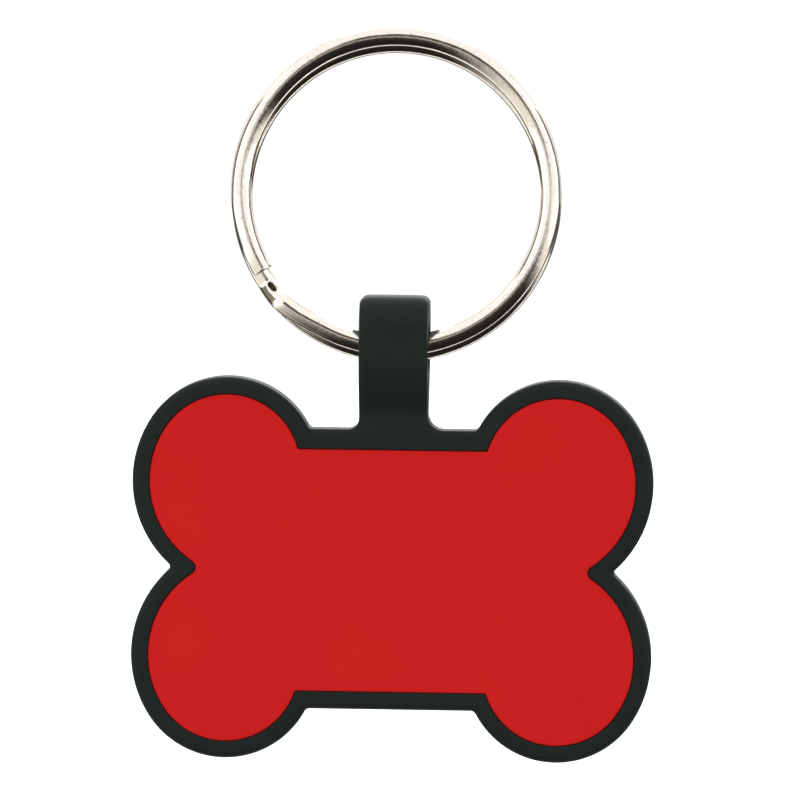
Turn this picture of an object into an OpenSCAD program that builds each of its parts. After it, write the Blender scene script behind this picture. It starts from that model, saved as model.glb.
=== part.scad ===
// Bone-shaped pet tag: a moulded rubber body with an inlaid face plate, swinging on a split ring.
// The ring lies in the XZ plane and the tag hangs below it, its face towards -Y.
// The origin is the inner top of the ring, where it hangs from a collar.

/* [Bone] */
// Overall width of the bone
tag_w = 39.5; // [36:0.5:46]
// Overall height of the bone over its lobes
tag_h = 29; // [26:0.4:32]
// Height of the bone at its straight waist
waist_h = 21.15; // [18.4:0.4:23.2]
// Thickness of the rubber body
tag_t = 3; // [2.6:0.1:4]
// Radius of each lobe's crown
crown_r = 6.9; // [6:0.05:7.4]
// Angle above level at which a lobe's side arc turns into its crown
crown_angle = 33; // [32:1:42]
// Depth of the notch between the two lobes of a side
notch_d = 3.05; // [2.5:0.05:4]
// Rounding of the rubber's outer edges
edge_r = 0.5; // [0.2:0.05:0.8]

/* [Face] */
// Width of the raised rubber rim around the face plate
rim_w = 1.4; // [1:0.1:1.9]
// Rounding of the rim where it turns into a side notch
notch_r = 0.5; // [0.4:0.05:0.9]
// Thickness of the face plate
plate_t = 0.8; // [0.5:0.05:1]
// Thickness of the adhesive film under the face plate
film_t = 0.1; // [0.05:0.01:0.2]
// Depth of the face plate's surface below the rim
face_recess = 0.12; // [0:0.02:0.3]
// Side clearance of the face plate in its pocket
plate_clear = 0.04; // [0.02:0.01:0.1]
// How far the film stops short of the face plate's edge
film_margin = 0.8; // [0.4:0.1:2]

/* [Eye] */
// Height of the eye's bore above the middle of the bone
eye_h = 16.75; // [15.5:0.25:19]
// Width of the eye along its bore
eye_w = 5.2; // [4.2:0.1:6.2]
// Rubber in front of and behind the bore
eye_wall = 1.25; // [1:0.05:1.8]
// Rubber above the bore
eye_crown = 2.3; // [1.4:0.05:3]
// Height over which the eye's front and back slope down to the body's faces
eye_slope = 2.85; // [2:0.05:3.4]
// Rounding of the eye's corners
eye_r = 0.6; // [0.3:0.05:0.9]
// Fillet where the eye grows out of the bone
root_r = 1; // [0.5:0.05:1.4]
// Clearance between the bore and the wire that it swings on
eye_clear = 0.25; // [0.15:0.05:0.5]

/* [Ring] */
// Outside diameter of the split ring
ring_d = 25; // [22:0.5:30]
// Width of the wire, measured along the ring's radius
wire_w = 1.55; // [1.3:0.05:1.8]
// Thickness of one turn of the wire
wire_t = 1.1; // [0.9:0.05:1.4]
// Rounding of the wire's corners
wire_r = 0.4; // [0.2:0.05:0.5]
// Gap between the two turns
turn_gap = 0.05; // [0.03:0.01:0.15]
// How far the rear turn sits below the front one
turn_shift = 0.45; // [0.1:0.05:0.7]
// Place of the front turn's free end, counted anticlockwise from +X
split_angle = 210; // [200:1:220]
// Angle over which the wire steps from the front turn to the rear one
joggle_angle = 11; // [10:0.5:16]
// Angle left free between a turn's end and the step
end_gap_angle = 1.5; // [1:0.1:4]

/* [Hidden] */
$fn = 96;

// Colours
rubber_black = "#262A28";
panel_red = "#C4201E";
film_white = "#DDDDD6";
ring_nickel = "#C9C2B4";

// Overrun of every cut past the surface that it opens
cut = 0.5;

// Flats that make up a rounded edge; the waist has one more, so its lines don't
// run into the lobes' lines
corner_steps = 3;
waist_corner_steps = corner_steps + 1;

// Outline of the bone, as arcs: the notch's depth sets the side arc's radius, to a grain,
// and the side arc and the crown arc share the line through their centres
radius_grain = 0.001;
half_w = tag_w / 2;
half_h = tag_h / 2;
crown_sin = sin(crown_angle);
crown_drop = half_h - crown_r * (1 - crown_sin);
side_sum = crown_drop * crown_sin + notch_d;
side_product = pow(crown_sin, 2) * (pow(crown_drop, 2) + pow(notch_d, 2));
side_exact_r = (side_sum - sqrt(pow(side_sum, 2) - side_product)) / pow(crown_sin, 2);
side_r = radius_grain * round(side_exact_r / radius_grain);
side_c = [half_w - side_r, crown_drop - side_r * crown_sin];
crown_c = side_c + (side_r - crown_r) * [cos(crown_angle), crown_sin];

// The body's side arcs run on past the sharp notch by this angle, and its crowns past the
// crotch, into the slab of the waist
lap_angle = 7.5;
notch_angle = -asin(side_c.y / side_r) - lap_angle;
crotch_angle = 180 + lap_angle - asin((waist_h / 2 - crown_c.y) / crown_r);
waist_w = 2 * (half_w - notch_d - 2 * edge_r);

// The face's side arcs turn into a blend about this centre
blend_c = [side_c.x + sqrt(pow(side_r + notch_r - rim_w, 2) - pow(side_c.y, 2)), 0];
blend_angle = -asin(side_c.y / norm(blend_c - side_c));
blend_steps = 8;
side_steps = 24;
crown_steps = 32;

// Layers of the face, from the rim's front inwards
pocket_d = face_recess + plate_t + film_t;
plate_inset = rim_w + plate_clear;

// Ring and its place: the lower of the two turns hangs at the origin
stack_t = 2 * wire_t + turn_gap;
layer_pitch = wire_t + turn_gap;
ring_in_r = ring_d / 2 - wire_w;
ring_mid_r = ring_d / 2 - wire_w / 2;
ring_z = turn_shift / 2 - ring_in_r;
joggle_rear = split_angle - 360;
joggle_front = joggle_rear + joggle_angle;
turn_sweep = 360 - joggle_angle - end_gap_angle;
joggle_steps = 14;

// The step runs into both turns by an angle, a hair slimmer than they are
weld_angle = 0.6;
weld_inset = 0.01;

// Eye: the bore clears the wire's farthest corner inside it, so the tag turns freely
swing_z = ring_z - ring_mid_r;
wire_top = ring_mid_r + turn_shift / 2 - sqrt(pow(ring_in_r, 2) - pow(eye_w / 2, 2));
wire_reach = norm([stack_t / 2 - wire_r, wire_top - wire_r]) + wire_r;
bore_r = wire_reach + eye_clear;
eye_top = bore_r + eye_crown;
eye_half_d = bore_r + eye_wall;
bone_z = swing_z - eye_h;

function reversed(list) = [for (i = [len(list) - 1:-1:0]) list[i]];

// A closed outline, anticlockwise from +X, out of its quarter at the upper right
function mirrored(quarter) =
    concat(
        quarter,
        [for (p = reversed(quarter)) [-p.x, p.y]],
        [for (p = quarter) if (p.y > 0) -p],
        [for (p = reversed(quarter)) if (p.y > 0) [p.x, -p.y]]
    );

// An arc's points in a number of steps
function arc(centre, r, from, to, steps) =
    [for (i = [0:steps]) let (a = from + (to - from) * i / steps) centre + r * [cos(a), sin(a)]];

// The upper right corner of a section, its edge rounded in flats
function corner(w, h, r, steps) = arc([w / 2 - r, h / 2 - r], r, 0, 90, steps);

// A quarter of the face's outline, drawn in from the bone's: notch blend, side arc and crown
function face_quarter(inset) =
    let (
        crotch = 180 - asin((waist_h / 2 - inset - crown_c.y) / (crown_r - inset)),
        blend = arc(blend_c, notch_r - rim_w + inset, 180, 180 + blend_angle, blend_steps),
        side = arc(side_c, side_r - inset, blend_angle, crown_angle, side_steps),
        crown = arc(crown_c, crown_r - inset, crown_angle, crotch, crown_steps)
    )
        concat(blend, [for (i = [1:side_steps]) side[i]], [for (i = [1:crown_steps]) crown[i]]);

// A square-edged slab of the face in the XY plane
module face_slab(inset, t) {
    linear_extrude(t, center = true) polygon(mirrored(face_quarter(inset)));
}

// Half section of the body's slab, from its axis to its rounded edge
module half_section(reach) {
    edge = corner(2 * reach, tag_t, edge_r, corner_steps);
    lower_edge = [for (p = reversed(edge)) [p.x, -p.y]];
    polygon(concat(edge, [[0, tag_t / 2], [0, -tag_t / 2]], lower_edge));
}

// The body's slab in the XY plane: each lobe's two arcs start on the line through their centres
module body_slab() {
    for (flip_x = [0, 1], flip_y = [0, 1]) mirror([flip_x, 0, 0]) mirror([0, flip_y, 0])
        translate(side_c) rotate([0, 0, crown_angle]) {
            mirror([0, 1, 0]) rotate_extrude(angle = crown_angle - notch_angle) half_section(side_r);
            translate([side_r - crown_r, 0, 0])
                rotate_extrude(angle = crotch_angle - crown_angle) half_section(crown_r);
        }
    rotate([90, 0, 90]) linear_extrude(waist_w, center = true)
        polygon(mirrored(corner(waist_h, tag_t, edge_r, waist_corner_steps)));
}

// Places a slab of the bone upright, its top face at a depth behind the rim's front
module upright(depth, t) {
    translate([0, depth + t / 2 - tag_t / 2, bone_z]) rotate([90, 0, 0]) children();
}

// Rectangle with its corners rounded by r
module rounded_bar(w, h, r) {
    square([w - 2 * r, h], center = true);
    square([w, h - 2 * r], center = true);
    for (x = [-1, 1], y = [-1, 1]) translate([x * (w / 2 - r), y * (h / 2 - r)]) circle(r);
}

// Side view of the eye: level top, flat front and back, and slopes down to the body's faces
module eye_side() {
    head = [[eye_half_d, -bore_r], [eye_half_d, eye_top - eye_r], [eye_half_d - eye_r, eye_top]];
    foot = [[tag_t / 2, -eye_h], [tag_t / 2, -bore_r - eye_slope]];
    right = concat(foot, head);
    left = [for (i = [len(right) - 1:-1:0]) [-right[i].x, right[i].y]];
    polygon(concat(right, left));
    for (side = [-1, 1]) translate([side * (eye_half_d - eye_r), eye_top - eye_r]) circle(eye_r);
}

// Front view of the eye: a strap with rounded top corners
module eye_front() {
    translate([-eye_w / 2, -eye_h]) square([eye_w, eye_h + eye_top - eye_r]);
    translate([eye_r - eye_w / 2, 0]) square([eye_w - 2 * eye_r, eye_top]);
    for (side = [-1, 1]) translate([side * (eye_w / 2 - eye_r), eye_top - eye_r]) circle(eye_r);
}

// Fillets that spread the strap into the bone's waist
module eye_root() {
    waist_top = waist_h / 2 - eye_h;
    for (side = [0, 1]) mirror([side, 0]) difference() {
        translate([0, waist_top - root_r]) square([eye_w / 2 + root_r, 2 * root_r]);
        translate([eye_w / 2 + root_r, waist_top + root_r]) circle(root_r);
    }
}

// The solid eye about its bore's axis, which is X through the local origin
module eye_block() {
    intersection() {
        rotate([90, 0, 90]) linear_extrude(eye_w, center = true) eye_side();
        rotate([90, 0, 0]) linear_extrude(2 * eye_half_d, center = true) eye_front();
        translate([0, 0, -eye_h]) linear_extrude(eye_h + eye_top) rounded_bar(eye_w, 2 * eye_half_d, edge_r);
    }
    rotate([90, 0, 0]) linear_extrude(tag_t, center = true) eye_root();
}

module tag_body() {
    color(rubber_black) difference() {
        union() {
            upright(0, tag_t) body_slab();
            translate([0, 0, swing_z]) eye_block();
        }
        upright(-cut, pocket_d + cut) face_slab(rim_w, pocket_d + cut);
        translate([0, 0, swing_z]) rotate([0, 90, 0]) cylinder(r = bore_r, h = eye_w + 2 * cut, center = true);
    }
}

module face_panel() {
    color(panel_red) upright(face_recess, plate_t) face_slab(plate_inset, plate_t);
}

module bonding_film() {
    color(film_white) upright(face_recess + plate_t, film_t) face_slab(plate_inset + film_margin, film_t);
}

// One turn of the ring; layer is 1 for the front turn and -1 for the rear one
module turn(layer, from) {
    translate(layer * [0, turn_shift, layer_pitch] / 2) rotate([0, 0, from])
        rotate_extrude(angle = turn_sweep) translate([ring_mid_r, 0]) rounded_bar(wire_w, wire_t, wire_r);
}

// Points of the wire's section for the swept step
wire_points =
    mirrored(corner(wire_w - 2 * weld_inset, wire_t - 2 * weld_inset, wire_r - weld_inset, corner_steps));

// Section of the step after an angle from the front turn on, square to its way:
// a half cosine wave that crosses from the front layer to the rear one
function step_section(turned) =
    let (
        a = joggle_front - turned,
        phase = 180 * max(0, min(1, turned / joggle_angle)),
        run = ring_mid_r * joggle_angle * PI / 180,
        slope = layer_pitch / 2 * PI / run * sin(phase),
        radial = [cos(a), sin(a), 0],
        along = [sin(a), -cos(a), 0],
        across = ([0, 0, 1] + slope * along) / norm([1, slope]),
        middle = ring_mid_r * radial + cos(phase) / 2 * [0, turn_shift, layer_pitch]
    )
    [for (p = wire_points) middle + p.x * radial + p.y * across];

// The step that takes the wire from the front turn to the rear one
module joggle() {
    way = [for (i = [0:joggle_steps]) joggle_angle * i / joggle_steps];
    rings = [for (turned = concat([-weld_angle], way, [joggle_angle + weld_angle])) step_section(turned)];
    count = len(wire_points);
    last = len(rings) - 1;
    walls = [
        for (i = [0:last - 1], k = [0:count - 1])
            let (a = i * count + k, b = i * count + (k + 1) % count)
                each [[a, a + count, b], [b, a + count, b + count]]
    ];
    front_end = [for (k = [0:count - 1]) k];
    rear_end = [for (k = [0:count - 1]) last * count + k];
    polyhedron([for (ring = rings) each ring], concat(walls, [front_end, reversed(rear_end)]));
}

module split_ring() {
    color(ring_nickel) translate([0, 0, ring_z]) rotate([90, 0, 0]) {
        turn(1, joggle_front);
        turn(-1, joggle_front + end_gap_angle - 360);
        joggle();
    }
}

tag_body();
face_panel();
bonding_film();
split_ring();
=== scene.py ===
"""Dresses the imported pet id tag: a rubber bone with a red face, hung in a split ring.

Lengths are in millimetres until a mesh is made, apart from the camera's, the lamps' and a paint's
fade, which are in metres. The bone stands upright, its face towards -Y, and the ring's wire lies
about the ring's own centre in the XZ plane.
"""

import logging
from dataclasses import dataclass
from enum import Enum
from typing import Any, Callable, Sequence

import bpy
import numpy as np
from mathutils import Matrix, Vector

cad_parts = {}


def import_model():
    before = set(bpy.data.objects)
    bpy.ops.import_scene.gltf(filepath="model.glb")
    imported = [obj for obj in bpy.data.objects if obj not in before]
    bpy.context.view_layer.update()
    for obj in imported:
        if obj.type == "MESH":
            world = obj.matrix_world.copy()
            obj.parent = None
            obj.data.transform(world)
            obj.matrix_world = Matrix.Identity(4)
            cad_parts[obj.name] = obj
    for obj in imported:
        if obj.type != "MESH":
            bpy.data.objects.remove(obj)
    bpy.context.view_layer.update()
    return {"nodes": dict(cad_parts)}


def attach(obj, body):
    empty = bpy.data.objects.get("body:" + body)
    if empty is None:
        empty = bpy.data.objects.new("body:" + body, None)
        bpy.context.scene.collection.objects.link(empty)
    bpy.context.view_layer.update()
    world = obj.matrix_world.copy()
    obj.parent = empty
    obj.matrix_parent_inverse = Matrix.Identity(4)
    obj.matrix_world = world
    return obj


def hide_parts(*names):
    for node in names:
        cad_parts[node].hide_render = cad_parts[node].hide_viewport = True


log = logging.getLogger("pet_id_tag")

MM = 0.001

Array = np.ndarray
Colour = tuple[float, float, float]
Span = tuple[float, float]
Place = tuple[float, float, float]
Shape = Callable[[Array, Array], tuple[Array, Array, Array]]


class Body(Enum):
    """The moving bodies that pieces ride on."""

    RING = "ring"
    TAG = "tag"


class Stock(Enum):
    """The record's material slots that the new pieces take."""

    RUBBER = "rubber"
    PANEL = "panel"
    RING = "ring"


class Seen(Enum):
    """Which rays meet a studio piece."""

    ALWAYS = "always"
    MIRRORED = "mirrored"


# Shader sums


@dataclass(frozen=True)
class Pattern:
    """Fractal noise over a place in metres: its wave in mm, octaves, and each further one's weight."""

    wave: float
    octaves: float
    weight: float


@dataclass(frozen=True)
class Streaks:
    """Fractal noise over a map in mm, with one wave along the wire and another round it."""

    along: float
    around: float
    octaves: float
    weight: float


class Sheet:
    """A material's node tree, filled one node at a time."""

    def __init__(self, name: str) -> None:
        """Starts an empty node material.

        Args:
            name: The material's name.
        """
        self.material = bpy.data.materials.new(name)
        self.material.use_nodes = True
        self.tree = self.material.node_tree
        self.tree.nodes.clear()

    def node(self, kind: str, settings: dict[str, Any] | None = None, **sockets: Any) -> bpy.types.Node:
        """Adds a node, its settings first and then its sockets.

        Args:
            kind: The node's type.
            settings: Attributes to set.
            **sockets: Values or links, by socket name with blanks as underscores, or i0, i1 by place.

        Returns:
            The node.
        """
        made = self.tree.nodes.new(kind)
        for key, value in (settings or {}).items():
            setattr(made, key, value)
        for key, value in sockets.items():
            place = made.inputs[int(key[1:])] if key[1:].isdigit() else made.inputs[key.replace("_", " ")]
            if isinstance(value, Wire):
                self.tree.links.new(value.socket, place)
            elif isinstance(value, tuple) and place.type == "RGBA":
                place.default_value = (*value, 1.0)
            else:
                place.default_value = value
        return made

    def wire(
        self, kind: str, output: str | int, settings: dict[str, Any] | None = None, **sockets: Any
    ) -> "Wire":
        """Adds a node as the method above does, and wraps its output of that name or place."""
        return Wire(self, self.node(kind, settings, **sockets).outputs[output])

    def mix(self, factor: Any, low: Any, high: Any) -> "Wire":
        """Mixes two colours, where the factor is the high one's share."""
        return self.wire("ShaderNodeMix", 2, {"data_type": "RGBA"}, i0=factor, i6=low, i7=high)

    def noise(self, where: "Wire", pattern: Pattern) -> "Wire":
        """Fractal noise of a place in metres, about 0.5 at the middle."""
        return self.wire(
            "ShaderNodeTexNoise", "Fac", Vector=where, Scale=1 / (pattern.wave * MM),
            Detail=pattern.octaves, Roughness=pattern.weight,
        )

    def streaks(self, where: "Wire", streaks: Streaks) -> "Wire":
        """Fractal noise of a map, drawn out along its first axis.

        Args:
            where: The map's place, in mm.
            streaks: The noise.

        Returns:
            The noise, about 0.5 at the middle.
        """
        scale = (1 / streaks.along, 1 / streaks.around, 1.0)
        drawn = self.wire("ShaderNodeMapping", "Vector", Vector=where, Scale=scale)
        return self.wire(
            "ShaderNodeTexNoise", "Fac", Vector=drawn, Scale=1.0,
            Detail=streaks.octaves, Roughness=streaks.weight,
        )

    def bump(self, height: "Wire", depth: float, **onto: "Wire") -> "Wire":
        """Turns a height of 0 to 1 into a normal, its depth in mm, and adds it to a Normal given."""
        distance = depth * MM
        return self.wire("ShaderNodeBump", "Normal", Strength=1.0, Distance=distance, Height=height, **onto)

    def place(self) -> "Wire":
        """Object coordinates, in metres."""
        return self.wire("ShaderNodeTexCoord", "Object")

    def finish(self, **sockets: Any) -> bpy.types.Material:
        """Adds the Principled shader and the output.

        Args:
            **sockets: The shader's sockets, as for node.

        Returns:
            The finished material.
        """
        shader = self.wire("ShaderNodeBsdfPrincipled", 0, **sockets)
        self.node("ShaderNodeOutputMaterial", Surface=shader)
        return self.material


class Wire:
    """A node's output that takes part in Python sums."""

    def __init__(self, sheet: Sheet, socket: bpy.types.NodeSocket) -> None:
        """Wraps a socket of a sheet."""
        self.sheet = sheet
        self.socket = socket

    def _math(self, operation: str, first: Any, second: Any) -> "Wire":
        """Adds one Math node."""
        return self.sheet.wire("ShaderNodeMath", 0, {"operation": operation}, i0=first, i1=second)

    def __add__(self, other: Any) -> "Wire":
        """self + other"""
        return self._math("ADD", self, other)

    def __radd__(self, other: Any) -> "Wire":
        """other + self"""
        return self._math("ADD", other, self)

    def __sub__(self, other: Any) -> "Wire":
        """self - other"""
        return self._math("SUBTRACT", self, other)

    def __rsub__(self, other: Any) -> "Wire":
        """other - self"""
        return self._math("SUBTRACT", other, self)

    def __mul__(self, other: Any) -> "Wire":
        """self * other"""
        return self._math("MULTIPLY", self, other)

    def __rmul__(self, other: Any) -> "Wire":
        """other * self"""
        return self._math("MULTIPLY", other, self)

    def step(self, low: float, high: float) -> "Wire":
        """Rises from 0 at low to 1 at high, easing at both."""
        settings = {"interpolation_type": "SMOOTHSTEP"}
        return self.sheet.wire("ShaderNodeMapRange", 0, settings, i0=self, i1=low, i2=high, i3=0.0, i4=1.0)


# Finishes


@dataclass(frozen=True)
class RubberFinish:
    """Moulded black rubber with a green cast: fine grain, dull sheen, a little dust."""

    dark: Colour = (0.0054, 0.0100, 0.0080)
    worn: Colour = (0.0067, 0.0117, 0.0095)
    dust: Colour = (0.04, 0.043, 0.04)
    dust_share: float = 0.35
    grain: Pattern = Pattern(wave=0.09, octaves=3.0, weight=0.6)
    cloud: Pattern = Pattern(wave=2.6, octaves=4.0, weight=0.55)
    speck: Pattern = Pattern(wave=2.6 / 4.2, octaves=2.0, weight=0.7)
    cloud_span: Span = (0.3, 0.75)
    speck_span: Span = (0.68, 0.76)
    rough: float = 0.50
    cloud_rough: float = 0.07
    grain_rough: float = 0.1
    cloud_depth: float = 0.007
    grain_depth: float = 0.0075
    gloss: float = 0.16
    sheen: float = 0.015
    sheen_rough: float = 0.4

    def material(self) -> bpy.types.Material:
        """Builds the material.

        Returns:
            Rubber whose colour, roughness and grain vary over Object coordinates.
        """
        sheet = Sheet("moulded_rubber")
        place = sheet.place()
        grain = sheet.noise(place, self.grain)
        cloud = sheet.noise(place, self.cloud)
        speck = sheet.noise(place, self.speck).step(*self.speck_span)
        colour = sheet.mix(cloud.step(*self.cloud_span), self.dark, self.worn)
        colour = sheet.mix(speck * cloud * self.dust_share, colour, self.dust)
        rough = self.rough + self.cloud_rough * cloud + self.grain_rough * grain
        normal = sheet.bump(grain, self.grain_depth)
        normal = sheet.bump(cloud, self.cloud_depth, Normal=normal)
        return sheet.finish(
            Base_Color=colour, Roughness=rough, Normal=normal, Specular_IOR_Level=self.gloss,
            Sheen_Weight=self.sheen, Sheen_Roughness=self.sheen_rough,
        )


@dataclass(frozen=True)
class LacquerFinish:
    """Satin red lacquer on an aluminium blank, flowed out with a faint orange peel."""

    deep: Colour = (0.420, 0.0040, 0.0035)
    fresh: Colour = (0.450, 0.0050, 0.0042)
    peel: Pattern = Pattern(wave=0.7, octaves=2.0, weight=0.4)
    fleck: Pattern = Pattern(wave=0.05, octaves=1.0, weight=0.5)
    cloud: Pattern = Pattern(wave=11, octaves=3.0, weight=0.5)
    cloud_span: Span = (0.25, 0.75)
    cloud_share: float = 0.7
    fleck_share: float = 0.3
    rough: float = 0.33
    cloud_rough: float = 0.08
    fleck_rough: float = 0.05
    peel_depth: float = 0.0035
    fleck_depth: float = 0.0006
    gloss: float = 0.10
    coat: float = 0.04
    coat_rough: float = 0.25

    def material(self) -> bpy.types.Material:
        """Builds the material.

        Returns:
            Lacquer whose tint, gloss and peel vary over Object coordinates.
        """
        sheet = Sheet("red_lacquer")
        place = sheet.place()
        peel = sheet.noise(place, self.peel)
        fleck = sheet.noise(place, self.fleck)
        cloud = sheet.noise(place, self.cloud)
        fresh = cloud.step(*self.cloud_span) * self.cloud_share + fleck * self.fleck_share
        normal = sheet.bump(peel, self.peel_depth)
        return sheet.finish(
            Base_Color=sheet.mix(fresh, self.deep, self.fresh),
            Roughness=self.rough + self.cloud_rough * cloud + self.fleck_rough * fleck,
            Normal=sheet.bump(fleck, self.fleck_depth, Normal=normal),
            Specular_IOR_Level=self.gloss, Coat_Weight=self.coat, Coat_Roughness=self.coat_rough,
        )


@dataclass(frozen=True)
class NickelFinish:
    """Bright nickel on drawn steel wire: lines along the wire, hairline scratches, grey tarnish.

    It reads the piece's own map, whose first axis runs along the wire and second round it, in mm.
    """

    bright: Colour = (0.915, 0.865, 0.785)
    tarnish: Colour = (0.42, 0.36, 0.29)
    edge_tint: Colour = (0.42, 0.40, 0.35)
    lines: Streaks = Streaks(along=9.0, around=0.05, octaves=3.0, weight=0.6)
    wave: Streaks = Streaks(along=2.2, around=1.1, octaves=3.0, weight=0.55)
    scratch: Streaks = Streaks(along=0.9, around=0.022, octaves=1.0, weight=0.5)
    mottle: Pattern = Pattern(wave=0.34, octaves=4.0, weight=0.62)
    scratch_span: Span = (0.66, 0.72)
    mottle_span: Span = (0.52, 0.72)
    wave_span: Span = (0.35, 0.7)
    dull_share: float = 0.55
    scratch_share: float = 0.12
    rough: float = 0.055
    lines_rough: float = 0.08
    dull_rough: float = 0.14
    scratch_rough: float = 0.08
    lines_depth: float = 0.0022
    wave_depth: float = 0.012
    mottle_depth: float = 0.003

    def material(self) -> bpy.types.Material:
        """Builds the material.

        Returns:
            Nickel whose tint, roughness and lines follow the wire.
        """
        sheet = Sheet("drawn_nickel")
        place = sheet.wire("ShaderNodeUVMap", "UV", {"uv_map": SplitRing.MAP})
        lines = sheet.streaks(place, self.lines)
        wave = sheet.streaks(place, self.wave)
        mottle = sheet.noise(sheet.place(), self.mottle)
        scratch = sheet.streaks(place, self.scratch).step(*self.scratch_span)
        dull = mottle.step(*self.mottle_span) * wave.step(*self.wave_span)
        worn = dull * self.dull_share + scratch * self.scratch_share
        rough = self.rough + self.lines_rough * lines + self.dull_rough * dull
        normal = sheet.bump(lines, self.lines_depth)
        normal = sheet.bump(wave, self.wave_depth, Normal=normal)
        return sheet.finish(
            Base_Color=sheet.mix(worn, self.bright, self.tarnish),
            Roughness=rough + self.scratch_rough * scratch,
            Normal=sheet.bump(mottle, self.mottle_depth, Normal=normal),
            Metallic=1.0, Specular_Tint=self.edge_tint,
        )


@dataclass(frozen=True)
class FilmFinish:
    """Milky double-sided bonding film with trapped air."""

    clear: Colour = (0.68, 0.68, 0.64)
    milky: Colour = (0.80, 0.80, 0.77)
    air: Pattern = Pattern(wave=1.5, octaves=5.0, weight=0.6)
    air_span: Span = (0.35, 0.65)
    rough: float = 0.42
    air_rough: float = 0.2
    air_depth: float = 0.01
    gloss: float = 0.4

    def material(self) -> bpy.types.Material:
        """Builds the material.

        Returns:
            Film whose tint and wrinkles vary over Object coordinates.
        """
        sheet = Sheet("bonding_film")
        air = sheet.noise(sheet.place(), self.air)
        return sheet.finish(
            Base_Color=sheet.mix(air.step(*self.air_span), self.clear, self.milky),
            Roughness=self.rough + self.air_rough * air,
            Normal=sheet.bump(air, self.air_depth), Specular_IOR_Level=self.gloss,
        )


@dataclass(frozen=True)
class StudioFinish:
    """Matt paint of a studio piece, with the faint unevenness of a rolled coat.

    Where it has a border, the paint fades to the border's tone between fade_x's first two and
    last two places along X, in metres, with an uneven edge: on the dark card ahead this gives a
    painted reflection soft, pale edges.
    """

    name: str
    tone: Colour
    border: Colour | None = None
    fade_x: tuple[float, float, float, float] = (0.0, 0.0, 0.0, 0.0)
    cloud: Pattern = Pattern(wave=1000 / 2.4, octaves=2.0, weight=0.5)
    cloud_low: float = 0.985
    wobble: Pattern = Pattern(wave=1000 / 22, octaves=2.0, weight=0.5)
    wobble_reach: float = 0.03
    rough: float = 0.85
    gloss: float = 0.1

    def material(self) -> bpy.types.Material:
        """Builds the material.

        Returns:
            Paint whose tone varies over Object coordinates.
        """
        sheet = Sheet(self.name)
        place = sheet.place()
        thin = tuple(self.cloud_low * part for part in self.tone)
        colour = sheet.mix(sheet.noise(place, self.cloud), thin, self.tone)
        if self.border is not None:
            x = sheet.wire("ShaderNodeSeparateXYZ", 0, Vector=place)
            x = x + self.wobble_reach * (sheet.noise(place, self.wobble) - 0.5)
            inside = x.step(*self.fade_x[:2]) * (1 - x.step(*self.fade_x[2:]))
            colour = sheet.mix(inside, self.border, colour)
        return sheet.finish(Base_Color=colour, Roughness=self.rough, Specular_IOR_Level=self.gloss)


# Meshes


def mesh_piece(name: str, points: Array, faces: list[Sequence[int]]) -> bpy.types.Object:
    """Makes a smooth-shaded mesh object.

    Args:
        name: The object's name.
        points: Vertices in mm, one a row.
        faces: Vertex numbers of each face.

    Returns:
        The object, at the origin.
    """
    mesh = bpy.data.meshes.new(name)
    mesh.from_pydata((points * MM).tolist(), [], faces)
    mesh.update()
    mesh.shade_smooth()
    made = bpy.data.objects.new(name, mesh)
    bpy.context.scene.collection.objects.link(made)
    return made


def skin(loops: Array) -> tuple[Array, list[Sequence[int]]]:
    """Skins a stack of closed loops and caps both ends.

    Point (i, j) is loop i's point j, and quads join neighbours. Faces point outwards where the
    loops run anticlockwise for a viewer towards whom the stack comes.

    Args:
        loops: m loops of n points, as an array (m, n, 3).

    Returns:
        The points and the faces.
    """
    m, n = loops.shape[:2]
    i, j = np.meshgrid(np.arange(m - 1), np.arange(n), indexing="ij")
    k = (j + 1) % n
    quads = np.stack([i * n + j, i * n + k, (i + 1) * n + k, (i + 1) * n + j], axis=-1).reshape(-1, 4)
    caps = [list(range(n))[::-1], list(range((m - 1) * n, m * n))]
    return loops.reshape(-1, 3), quads.tolist() + caps


def arc(centre: Array, radius: float, start: float, end: float, count: int) -> Array:
    """Points of centre + radius (cos a, sin a), where a goes from start to end in degrees."""
    a = np.radians(np.linspace(start, end, count))
    return np.asarray(centre) + radius * np.stack([np.cos(a), np.sin(a)], axis=-1)


def quarter_turn(count: int) -> tuple[Array, Array]:
    """The cosines and the sines of as many angles, evenly spread from 0 to 90 degrees."""
    turn = np.radians(np.linspace(0, 90, count))
    return np.cos(turn), np.sin(turn)


def between(span: Span, share: Array) -> Array:
    """The place at a share of a span, from its first end."""
    return span[0] + (span[1] - span[0]) * share


def stood_up(outline: Array, depth: float, middle_z: float) -> Array:
    """Stands a front view's points (x, height) up at a depth along Y, with height 0 at middle_z."""
    return np.stack([outline[:, 0], np.full(len(outline), depth), outline[:, 1] + middle_z], axis=-1)


def joined_and_bored(
    slab: bpy.types.Object, strap: bpy.types.Object, bore: bpy.types.Object, name: str
) -> bpy.types.Object:
    """Joins a strap to a slab and cuts a bore through both.

    Args:
        slab: The piece to work on.
        strap: The closed piece to add.
        bore: The closed piece to take away.
        name: The new piece's name.

    Returns:
        The finished piece, its helpers gone.
    """
    for other, operation in ((strap, "UNION"), (bore, "DIFFERENCE")):
        cut = slab.modifiers.new(other.name, "BOOLEAN")
        cut.operation = operation
        cut.object = other
        cut.solver = "EXACT"
    graph = bpy.context.evaluated_depsgraph_get()
    mesh = bpy.data.meshes.new_from_object(slab.evaluated_get(graph))
    mesh.name = name
    for used in (slab, strap, bore):
        bpy.data.objects.remove(used)
    made = bpy.data.objects.new(name, mesh)
    bpy.context.scene.collection.objects.link(made)
    return made


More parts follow.
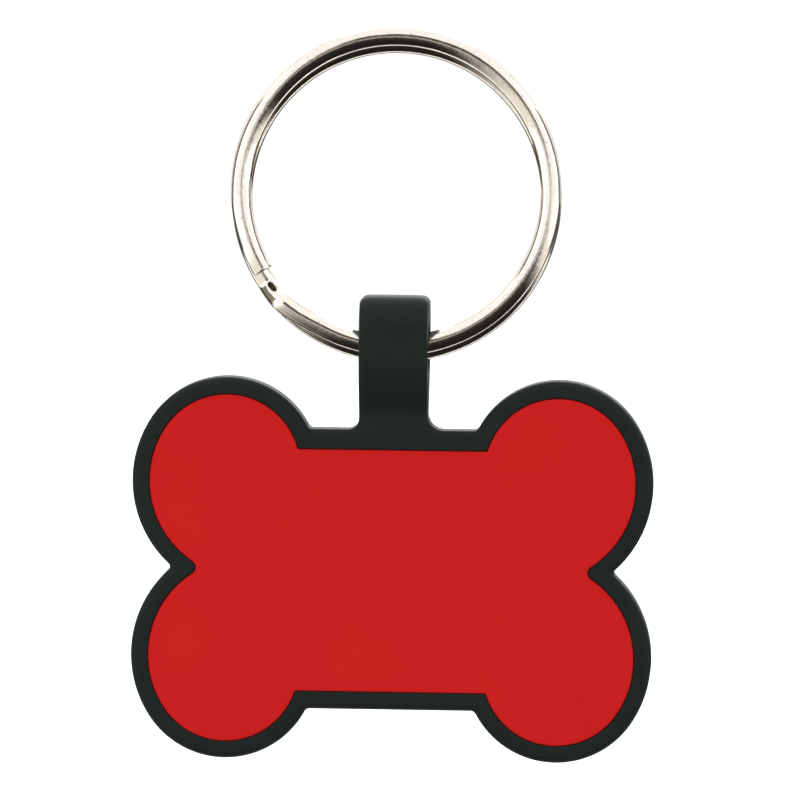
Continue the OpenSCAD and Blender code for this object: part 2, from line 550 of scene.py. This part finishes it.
def soften(piece: bpy.types.Object, sharp_deg: float) -> None:
    """Shades by angle, with the flats' normals kept level.

    Args:
        piece: The piece.
        sharp_deg: Edges that turn by more stay sharp.
    """
    piece.data.shade_smooth()
    piece.data.set_sharp_from_angle(angle=np.radians(sharp_deg))
    level = piece.modifiers.new("level_flats", "WEIGHTED_NORMAL")
    level.mode = "FACE_AREA"
    level.keep_sharp = True
    level.weight = 100


# The bone's outline


@dataclass
class BoneOutline:
    """The bone's front view: on each lobe a side arc and a tighter crown arc, and a straight waist."""

    width: float = 39.5
    height: float = 29.0
    waist: float = 21.3
    side_radius: float = 8.704
    crown_radius: float = 6.9
    crown_deg: float = 33.0
    face_notch: float = 0.77
    notch_points: int = 10
    side_points: int = 34
    crown_points: int = 44
    crotch_points: int = 12

    def __post_init__(self) -> None:
        """Works out the arcs' centres: both lie on one line, so the arcs meet smoothly."""
        turn = np.radians(self.crown_deg)
        crown_y = self.height / 2 - self.crown_radius
        reach = self.side_radius - self.crown_radius
        self.side = np.array([self.width / 2 - self.side_radius, crown_y - reach * np.sin(turn)])
        self.crown = self.side + reach * np.array([np.cos(turn), np.sin(turn)])

    def quarter(self, inset: float, notch: float, crotch: float, sunk: float) -> Array:
        """The upper right quarter, drawn in by inset, from the notch up to the waist.

        The notch is an arc about a point of the X axis that touches the side arc from outside;
        the crotch is an arc that touches the crown arc and the waist line.

        Args:
            inset: Distance in from the outer edge.
            notch: Radius in the notch between the lobes.
            crotch: Radius in the corner between crown and waist.
            sunk: Further distance in at the waist.

        Returns:
            The points, anticlockwise.
        """
        side_r, crown_r = self.side_radius - inset, self.crown_radius - inset
        level = self.waist / 2 - inset - sunk
        notch_x = self.side[0] + np.sqrt((side_r + notch) ** 2 - self.side[1] ** 2)
        low = -np.degrees(np.arctan2(self.side[1], notch_x - self.side[0]))
        rise = level + crotch - self.crown[1]
        crotch_x = self.crown[0] - np.sqrt((crown_r + crotch) ** 2 - rise**2)
        high = np.degrees(np.arctan2(rise, crotch_x - self.crown[0]))
        return np.concatenate([
            arc((notch_x, 0), notch, 180, 180 + low, self.notch_points),
            arc(self.side, side_r, low, self.crown_deg, self.side_points)[1:],
            arc(self.crown, crown_r, self.crown_deg, high, self.crown_points)[1:],
            arc((crotch_x, level + crotch), crotch, high - 180, -90, self.crotch_points)[1:],
        ])

    def closed(
        self, inset: float, notch: float, crotch: float, top: Array | None = None, sunk: Span = (0.0, 0.0)
    ) -> Array:
        """The whole outline, anticlockwise from the right notch.

        Args:
            inset: Distance in from the outer edge.
            notch: Radius in the notches.
            crotch: Radius in the crotches.
            top: Points that stand for the straight stretch of the upper waist, right to left.
            sunk: Further distance in at the upper and at the lower waist.

        Returns:
            The points, as an array (n, 2).
        """
        upper, lower = (self.quarter(inset, notch, crotch, further) for further in sunk)
        middle = np.empty((0, 2)) if top is None else top
        return np.concatenate([upper, middle, upper[:0:-1] * (-1, 1), -lower, lower[:0:-1] * (1, -1)])


# Sub-assemblies


@dataclass
class TagBody:
    """The rubber bone: a slab with rounded edges, a pocket for the face, and the eye on its waist."""

    outline: BoneOutline
    thickness: float = 3.0
    edge: float = 0.5
    rim: float = 1.27
    rim_sunk: Span = (0.22, 0.055)
    pocket: float = 1.02
    lip: float = 0.07
    notch: float = 0.3
    crotch: float = 0.45
    pocket_crotch: float = 0.06
    middle_z: float = -39.2
    eye_z: float = -22.45
    eye_width: float = 5.2
    eye_half_depth: float = 3.0615
    eye_top: float = 4.03
    eye_round: float = 0.6
    eye_roll: float = 2.2
    eye_hair: float = 0.004
    eye_foot_share: float = 1.1
    bore: float = 1.816
    bore_flare: float = 0.22
    bore_overrun: float = 1.0
    slope: float = 2.85
    crease_ease: float = 0.06
    swell_ease: float = 0.6
    root_right: float = 1.25
    root_left: float = 0.85
    neck_end: float = 13.6
    level_share: float = 0.72
    edge_points: int = 9
    root_points: int = 14
    strap_loops: int = 60
    roll_loops: int = 33
    mouth_loops: int = 7
    bore_points: int = 96
    sharp_deg: float = 34

    def _neck(self, inset: float) -> Array:
        """The neck's way round, from the waist's right side up, over and down to its left side.

        Each root is an arc that widens by inset about a fixed centre, and the neck's sides and
        top are drawn in by it.

        Args:
            inset: Distance in from the outer edge.

        Returns:
            The points, right to left.
        """
        half, level, count = self.eye_width / 2, self.outline.waist / 2, self.root_points
        right_centre = (half + self.root_right, level + self.root_right)
        left_centre = (-half - self.root_left, level + self.root_left)
        right = arc(right_centre, self.root_right + inset, -90, -180, count)
        left = arc(left_centre, self.root_left + inset, 0, -90, count)
        end = self.neck_end - inset
        return np.concatenate([right, [[half - inset, end], [inset - half, end]], left])

    def _slab(self) -> bpy.types.Object:
        """Carries the wall's profile along the outline.

        The profile runs (inset, depth) from the rear's edge, round a quarter circle, up the wall,
        round another, over the rim, round the lip and down the pocket's wall. The end loops are
        closed by the back and by the pocket's floor.

        Returns:
            The slab with its pocket.
        """
        half, edge = self.thickness / 2, self.edge
        cos, sin = quarter_turn(self.edge_points)
        rear = np.stack([edge * (1 - sin), half - edge * (1 - cos)], axis=-1)
        front = np.stack([edge * (1 - cos), -half + edge * (1 - sin)], axis=-1)
        lip = np.stack([self.rim - self.lip + self.lip * sin, -half + self.lip * (1 - cos)], axis=-1)
        wall = [[self.rim, -half + self.pocket]]
        loops = []
        for inset, depth in np.concatenate([rear, front]):
            ring = self.outline.closed(inset, self.notch + inset, self.crotch + inset, self._neck(inset))
            loops.append(stood_up(ring, depth, self.middle_z))
        reach = self.eye_width * self.level_share
        span = np.linspace(reach, -reach, len(self._neck(0)))
        for inset, depth in np.concatenate([lip, wall]):
            level = self.outline.waist / 2 - inset - self.rim_sunk[0]
            top = np.stack([span, np.full(len(span), level)], axis=-1)
            corner = self.pocket_crotch + inset - self.rim + self.lip
            ring = self.outline.closed(inset, inset - self.outline.face_notch, corner, top, self.rim_sunk)
            loops.append(stood_up(ring, depth, self.middle_z))
        return mesh_piece("bone_slab", *skin(np.array(loops)))

    def _eye_section(self, z: float) -> tuple[float, float]:
        """Half width and half depth of the eye at a height above its bore's axis.

        The depth eases from the slab's to the eye's along the slope, and both shrink along quarter
        circles at the top, the depth along the wider one. A hair keeps the strap's faces off the
        planes of the slab's.

        Args:
            z: The height.

        Returns:
            The half width and the half depth.
        """
        low, high = -self.bore - self.slope, -self.bore
        t = (z - low) / (high - low)

        def ramp(s: float, ease: float) -> float:
            """A corner at 0, eased over a share of the slope."""
            return 0.0 if s < -ease else s if s > ease else (s + ease) ** 2 / (4 * ease)

        def drawn(radius: float) -> float:
            """How far a top edge of a radius draws the side in."""
            over = max(0.0, z - (self.eye_top - radius))
            return radius - np.sqrt(max(0.0, radius**2 - over**2))

        rise = ramp(t, self.crease_ease) - ramp(t - 1, self.swell_ease)
        depth = self.thickness / 2 + (self.eye_half_depth - self.thickness / 2) * rise
        half_width = self.eye_width / 2 + self.eye_hair - drawn(self.eye_round)
        return half_width, depth + self.eye_hair - drawn(self.eye_roll)

    def _eye(self) -> bpy.types.Object:
        """Lofts the eye's strap: at each height a rectangle with round corners.

        Returns:
            The strap without its bore.
        """
        low = -self.bore - self.eye_foot_share * self.slope
        shoulder = self.eye_top - self.eye_roll
        crown = shoulder + self.eye_roll * quarter_turn(self.roll_loops)[1]
        heights = np.concatenate([np.linspace(low, shoulder, self.strap_loops)[:-1], crown])
        cos, sin = quarter_turn(self.edge_points)
        r = self.edge
        loops = []
        for z in heights:
            half_width, half_depth = self._eye_section(float(z))
            corner = np.stack([half_width - r + r * cos, half_depth - r + r * sin], axis=-1)
            ring = np.concatenate([corner, corner[::-1] * (-1, 1), -corner, corner[::-1] * (1, -1)])
            loops.append(np.column_stack([ring, np.full(len(ring), self.eye_z + z)]))
        return mesh_piece("eye_strap", *skin(np.array(loops)))

    def _bore(self) -> bpy.types.Object:
        """Turns the bore's cutter about X: a cylinder that flares by a quarter circle at each mouth.

        Returns:
            The cutter.
        """
        half, flare = self.eye_width / 2, self.bore_flare
        cos, sin = quarter_turn(self.mouth_loops)
        out_x = np.concatenate([half - flare + flare * sin, [half + self.bore_overrun]])
        out_r = np.concatenate([self.bore + flare * (1 - cos), [self.bore + flare]])
        x = np.concatenate([-out_x[::-1], out_x])[:, None]
        r = np.concatenate([out_r[::-1], out_r])[:, None]
        a = np.linspace(0, 2 * np.pi, self.bore_points, endpoint=False)
        loops = np.stack([x + 0 * a, r * np.cos(a), self.eye_z + r * np.sin(a)], axis=-1)
        return mesh_piece("eye_bore", *skin(loops))

    def build(self, finish: RubberFinish) -> bpy.types.Object:
        """Makes and dresses the bone.

        Args:
            finish: Its rubber.

        Returns:
            The bone with its eye.
        """
        made = joined_and_bored(self._slab(), self._eye(), self._bore(), "bone_with_eye")
        soften(made, self.sharp_deg)
        made.data.materials.append(finish.material())
        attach(made, Body.TAG.value)
        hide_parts("tag_body")
        return made


@dataclass
class FacePanel:
    """The red blank that lies in the pocket, a hair below the rim."""

    outline: BoneOutline
    inset: float = 1.31
    sunk: Span = (0.22, 0.055)
    thickness: float = 0.8
    depth: float = 0.12
    body_half: float = 1.5
    middle_z: float = -39.2
    edge: float = 0.07
    crotch: float = 0.05
    edge_points: int = 6
    sharp_deg: float = 40

    def build(self, finish: LacquerFinish) -> bpy.types.Object:
        """Carries a wall with a rounded front edge along the outline and closes both faces.

        Args:
            finish: Its lacquer.

        Returns:
            The blank.
        """
        cos, sin = quarter_turn(self.edge_points)
        front = self.depth - self.body_half
        rounded = np.stack([self.inset + self.edge * (1 - cos), front + self.edge * (1 - sin)], axis=-1)
        loops = []
        for inset, depth in np.concatenate([[[self.inset, front + self.thickness]], rounded]):
            corner = self.crotch + inset - self.inset
            ring = self.outline.closed(inset, inset - self.outline.face_notch, corner, None, self.sunk)
            loops.append(stood_up(ring, depth, self.middle_z))
        made = mesh_piece("red_face", *skin(np.array(loops)))
        soften(made, self.sharp_deg)
        made.data.materials.append(finish.material())
        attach(made, Body.TAG.value)
        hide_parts("face_panel")
        return made


@dataclass
class SplitRing:
    """One wire wound twice: the rear turn, a step over to the front layer, and the front turn."""

    MAP = "wire"

    outer_diameter: float = 25.0
    wire_width: float = 1.55
    wire_depth: float = 1.1
    turn_gap: float = 0.05
    turn_shift: float = 0.54
    centre_z: float = -10.77
    start_deg: float = 225.8
    step_deg: float = 11.0
    turn_deg: float = 347.5
    slide_lag_deg: float = 4.0
    slide_deg: float = 26.0
    bulge: float = 2.15
    end_round: float = 0.12
    section_points: int = 56
    turn_loops: int = 260
    step_loops: int = 26
    end_loops: int = 5
    sharp_deg: float = 50

    def __post_init__(self) -> None:
        """Works out the radius of the wire's middle line."""
        self.middle_r = (self.outer_diameter - self.wire_width) / 2

    def _section(self) -> Array:
        """The wire's section, a superellipse |x / a|^p + |y / b|^p = 1.

        Returns:
            Points (radial, axial), clockwise, evenly spread over the curve's parameter.
        """
        a = np.linspace(0, -2 * np.pi, self.section_points, endpoint=False)
        turned = np.stack([np.cos(a), np.sin(a)], axis=-1)
        half = np.array([self.wire_width, self.wire_depth]) / 2
        return half * np.sign(turned) * np.abs(turned) ** (2 / self.bulge)

    def _way(self) -> Array:
        """The wire's middle line: a circle whose layer changes by a half cosine within the step.

        Its first and last loops lie close together, within the round of the ends.

        Returns:
            Five rows: the angle in radians, the layer from -1 rear to 1 front, its slope to the
            radian, the slide from -1 low to 1 high, which lags the layer, and how far the ends'
            quarter circle draws the section in.
        """
        first = np.radians(self.start_deg)
        step_from = first + np.radians(self.turn_deg)
        step_to = first + np.radians(self.turn_deg + self.step_deg)
        last = step_to + np.radians(self.turn_deg)
        close = np.linspace(0, 1, self.end_loops)
        angle = np.concatenate([
            first + close * self.end_round / self.middle_r,
            np.linspace(first, step_from, self.turn_loops)[1:-1],
            np.linspace(step_from, step_to, self.step_loops)[:-1],
            np.linspace(step_to, last, self.turn_loops)[:-1],
            last - close[::-1] * self.end_round / self.middle_r,
        ])

        def share(start: float, length: float) -> Array:
            """The share of a stretch that is behind, from 0 to 1."""
            return np.clip((angle - start) / length, 0, 1)

        stepped = share(step_from, step_to - step_from)
        slope = np.pi * np.sin(np.pi * stepped) / (step_to - step_from)
        slid = share(step_from + np.radians(self.slide_lag_deg), np.radians(self.slide_deg))
        shrink = np.zeros_like(angle)
        shrink[:self.end_loops] = self.end_round * (1 - np.sqrt(1 - (1 - close) ** 2))
        shrink[-self.end_loops:] = shrink[:self.end_loops][::-1]
        return np.stack([angle, -np.cos(np.pi * stepped), slope, -np.cos(np.pi * slid), shrink])

    def build(self, finish: NickelFinish) -> bpy.types.Object:
        """Carries the section along the wire and squares off both ends with a small round.

        Args:
            finish: Its nickel.

        Returns:
            The ring, with a map along and round the wire.
        """
        angle, layer, slope, slide, shrink = self._way()
        half_pitch = (self.wire_depth + self.turn_gap) / 2
        level = np.zeros_like(angle)
        radial = np.stack([np.cos(angle), level, np.sin(angle)], axis=-1)
        along = np.stack([-np.sin(angle), level, np.cos(angle)], axis=-1)
        rate = (half_pitch * slope / self.middle_r)[:, None]
        across = (np.array([0.0, -1.0, 0.0]) - rate * along) / np.sqrt(1 + rate**2)
        shift = np.stack([level, -half_pitch * layer, self.turn_shift / 2 * slide], axis=-1)
        middle = np.array([0, 0, self.centre_z]) + self.middle_r * radial + shift
        section = self._section()
        scale = 1 - shrink[:, None] / (np.array([self.wire_width, self.wire_depth]) / 2)
        drawn = section[None] * scale[:, None]
        loops = middle[:, None] + drawn[..., :1] * radial[:, None] + drawn[..., 1:] * across[:, None]
        made = mesh_piece("double_turn_ring", *skin(loops))
        self._lay_map(made, angle * self.middle_r, section)
        soften(made, self.sharp_deg)
        made.data.materials.append(finish.material())
        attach(made, Body.RING.value)
        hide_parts("split_ring")
        return made

    def _lay_map(self, piece: bpy.types.Object, run: Array, section: Array) -> None:
        """Lays the map in mm: along the wire, and round it by the section's arc length.

        The quads that close the section end at its full girth and not at 0.

        Args:
            piece: The ring.
            run: The way along the wire of each loop.
            section: The section's points.
        """
        mesh = piece.data
        n = len(section)
        gaps = np.linalg.norm(np.diff(np.vstack([section, section[:1]]), axis=0), axis=1)
        girth = np.concatenate([[0.0], np.cumsum(gaps)])
        vertex = np.empty(len(mesh.loops), dtype=np.int32)
        mesh.loops.foreach_get("vertex_index", vertex)
        row, column = vertex // n, vertex % n
        corners = 4 * (len(run) - 1) * n
        seam = np.arange(corners) // 4 % n == n - 1
        around = girth[column]
        around[:corners][seam & (column[:corners] == 0)] = girth[-1]
        cells = np.stack([run[row], around], axis=-1)
        layer = mesh.uv_layers.new(name=self.MAP)
        layer.data.foreach_set("uv", cells.astype(np.float32).ravel())


# Studio


@dataclass(frozen=True)
class Card:
    """A flat card that only mirrored rays meet, its paint a painted reflection: spans in mm, with its rise
    above the floor.

    X runs over the first share of its grid, and Y and the rise over the second.
    """

    paint: StudioFinish
    x: Span
    y: Span
    rise: Span


@dataclass(frozen=True)
class Softbox:
    """An area lamp: its place and size in metres, and its radiance, where the sky's is about 1."""

    name: str
    place: Place
    size: Span
    glow: float


@dataclass
class Studio:
    """The camera, the lamps, the pale floor and the cards that the ring mirrors, whose paint is painted
    reflection only.
    """

    azimuth: float = 2.65
    elevation: float = 3.85
    roll: float = 0.64
    distance: float = 0.6
    lens: float = 356.2
    sensor: float = 36.0
    clip: Span = (0.02, 30.0)
    target: Place = (0.000451, 0.0, -0.026360)
    sky: float = 1.06
    aim: Place = (0.0, 0.0, -0.03)
    grid: tuple[int, int] = (65, 17)
    floor_paint: StudioFinish = StudioFinish("floor", (0.95, 0.95, 0.95))
    floor_z: float = -90
    floor_radius: float = 7000
    # Painted reflections: sheets that only mirrored rays meet, a dark one on the floor ahead with pale
    # faded borders, beige and dark ones standing far ahead, and a dark one on the floor behind.
    middle: tuple[Card, ...] = (
        Card(
            StudioFinish(
                "dark_reflection_card_ahead", (0.006, 0.0048, 0.0036),
                border=(0.62, 0.59, 0.54), fade_x=(-0.095, -0.028, 0.09, 0.145),
            ),
            x=(-150, 190), y=(10, -1000), rise=(3, 3),
        ),
        Card(
            StudioFinish("beige_reflection_card_far", (0.42, 0.35, 0.30)),
            x=(-96, 4), y=(-1000, -1000), rise=(3, 63),
        ),
        Card(
            StudioFinish("dark_reflection_card_far", (0.04, 0.032, 0.025)),
            x=(-135, 135), y=(-1001, -1001), rise=(63, 303),
        ),
        Card(
            StudioFinish("dark_reflection_card_behind", (0.03, 0.027, 0.022)),
            x=(-800, 800), y=(800, 50), rise=(3, 3),
        ),
    )
    # Painted reflections at the sides: grey strips on the floor and dark cards bent round the tag, met only
    # by mirrored rays.
    side_reflection_tone: Colour = (0.16, 0.15, 0.12)
    reflection_strip_x: Span = (180, 780)
    reflection_strip_y: Span = (50, -40)
    reflection_strip_rise: Span = (3, 3)
    side_radius: float = 700
    side_from_deg: float = 78
    side_deg: float = 42
    side_lean_deg: float = 36
    side_rise: Span = (4, 444)
    boxes: tuple[Softbox, ...] = (
        Softbox("overhead_box", place=(0.0, 0.1, 0.95), size=(0.9, 0.7), glow=1.3),
        Softbox("rear_box", place=(0.0, 0.95, 0.42), size=(1.3, 0.4), glow=4.0),
        Softbox("left_box", place=(-0.9, -0.75, 0.25), size=(0.5, 0.8), glow=1.3),
        Softbox("right_box", place=(0.9, -0.75, 0.25), size=(0.5, 0.8), glow=1.3),
    )

    def camera(self) -> None:
        """Makes the camera at the photograph's angle, turned about its own axis by the roll."""
        data = bpy.data.cameras.new("camera")
        data.lens = self.lens
        data.sensor_width = self.sensor
        data.clip_start, data.clip_end = self.clip
        made = bpy.data.objects.new("camera", data)
        bpy.context.scene.collection.objects.link(made)
        a, e, r = np.radians([self.azimuth, self.elevation, self.roll])
        back = Vector((np.sin(a) * np.cos(e), -np.cos(a) * np.cos(e), np.sin(e)))
        right = Vector((np.cos(a), np.sin(a), 0))
        up = back.cross(right)
        right, up = np.cos(r) * right + np.sin(r) * up, np.cos(r) * up - np.sin(r) * right
        turn = Matrix((right, up, back)).transposed().to_4x4()
        made.matrix_world = Matrix.Translation(Vector(self.target) + back * self.distance) @ turn
        bpy.context.scene.camera = made

    def lamp(self, box: Softbox) -> None:
        """Hangs a softbox that faces the tag.

        Args:
            box: The softbox.
        """
        data = bpy.data.lights.new(box.name, "AREA")
        data.shape = "RECTANGLE"
        data.size, data.size_y = box.size
        data.energy = box.glow * np.pi * box.size[0] * box.size[1]
        made = bpy.data.objects.new(box.name, data)
        bpy.context.scene.collection.objects.link(made)
        place = Vector(box.place)
        turn = (Vector(self.aim) - place).to_track_quat("-Z", "Y").to_matrix().to_4x4()
        made.matrix_world = Matrix.Translation(place) @ turn

    def surface(self, paint: StudioFinish, shape: Shape, seen: Seen) -> None:
        """Makes a studio surface on a grid of two shares.

        Args:
            paint: Its paint and name.
            shape: Gives x, y and the rise above the floor in mm for both shares from 0 to 1.
            seen: Which rays meet it.
        """
        n, m = self.grid
        u, v = np.meshgrid(np.linspace(0, 1, n), np.linspace(0, 1, m), indexing="ij")
        x, y, rise = shape(u, v)
        points = np.stack([x, y, self.floor_z + rise], axis=-1).reshape(-1, 3)
        i, j = np.meshgrid(np.arange(n - 1), np.arange(m - 1), indexing="ij")
        quads = np.stack([i * m + j, (i + 1) * m + j, (i + 1) * m + j + 1, i * m + j + 1], axis=-1)
        made = mesh_piece(paint.name, points, quads.reshape(-1, 4).tolist())
        made.data.materials.append(paint.material())
        if seen is Seen.MIRRORED:
            # Mirrored rays alone meet it: its paint shows only as a painted reflection, casts no shadow and
            # lights nothing.
            made.visible_camera = made.visible_diffuse = made.visible_shadow = False

    def lay_floor(self) -> None:
        """Lays a round floor: the first share runs about Z, and the second one's square outwards."""
        self.surface(
            self.floor_paint,
            lambda u, v: (
                self.floor_radius * v**2 * np.cos(2 * np.pi * u),
                self.floor_radius * v**2 * np.sin(2 * np.pi * u),
                0 * u,
            ),
            Seen.ALWAYS,
        )

    def set_up(self, card: Card) -> None:
        """Sets up a flat card, straight between the ends of its spans."""
        self.surface(
            card.paint,
            lambda u, v: (between(card.x, u), between(card.y, v), between(card.rise, v)),
            Seen.MIRRORED,
        )

    def bend(self, name: str, side: int) -> None:
        """Bends a card round the tag's side, leaning forwards as it rises, its dark paint a painted
        reflection.

        Its points lie at one radius about Z, at an angle from straight ahead that grows with the
        first share and falls with the second.

        Args:
            name: Its name.
            side: -1 on the left, 1 on the right.
        """

        def turned(u: Array, v: Array) -> Array:
            """The angle from straight ahead, in radians."""
            return np.radians(self.side_from_deg + self.side_deg * u - self.side_lean_deg * v)

        self.surface(
            StudioFinish(name, self.side_reflection_tone),
            lambda u, v: (
                side * self.side_radius * np.sin(turned(u, v)),
                -self.side_radius * np.cos(turned(u, v)),
                between(self.side_rise, v),
            ),
            Seen.MIRRORED,
        )

    def build(self) -> None:
        """Sets up the plain studio."""
        scene = bpy.context.scene
        scene.view_settings.view_transform = "Standard"
        world = bpy.data.worlds.new("studio")
        world.use_nodes = True
        background = world.node_tree.nodes["Background"]
        background.inputs["Color"].default_value = (1.0, 1.0, 1.0, 1.0)
        background.inputs["Strength"].default_value = self.sky
        scene.world = world
        self.camera()
        self.lay_floor()
        for card in self.middle:
            self.set_up(card)
        for side, hand in ((-1, "left"), (1, "right")):
            near, far = self.reflection_strip_x
            paint = StudioFinish(f"grey_reflection_strip_{hand}", self.side_reflection_tone)
            self.set_up(Card(paint, (side * near, side * far), self.reflection_strip_y, self.reflection_strip_rise))
            self.bend(f"dark_{hand}", side)
        for box in self.boxes:
            self.lamp(box)


def main() -> None:
    """Loads the frame, builds and dresses each piece in order, logs their face counts, and sets up the
    studio.
    """
    logging.basicConfig(level=logging.INFO, format="%(message)s")
    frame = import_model()
    outline = BoneOutline()

    bone = TagBody(outline).build(RubberFinish())
    log.info("bone with eye: %d faces", len(bone.data.polygons))
    face = FacePanel(outline).build(LacquerFinish())
    log.info("red face: %d faces", len(face.data.polygons))
    ring = SplitRing().build(NickelFinish())
    log.info("double turn ring: %d faces", len(ring.data.polygons))
    film = frame["nodes"]["bonding_film"]
    film.data.materials.clear()
    film.data.materials.append(FilmFinish().material())
    log.info("bonding film: dressed as packed")
    Studio().build()
    log.info("studio: camera, lamps, floor and cards")


if __name__ == "__main__":
    main()
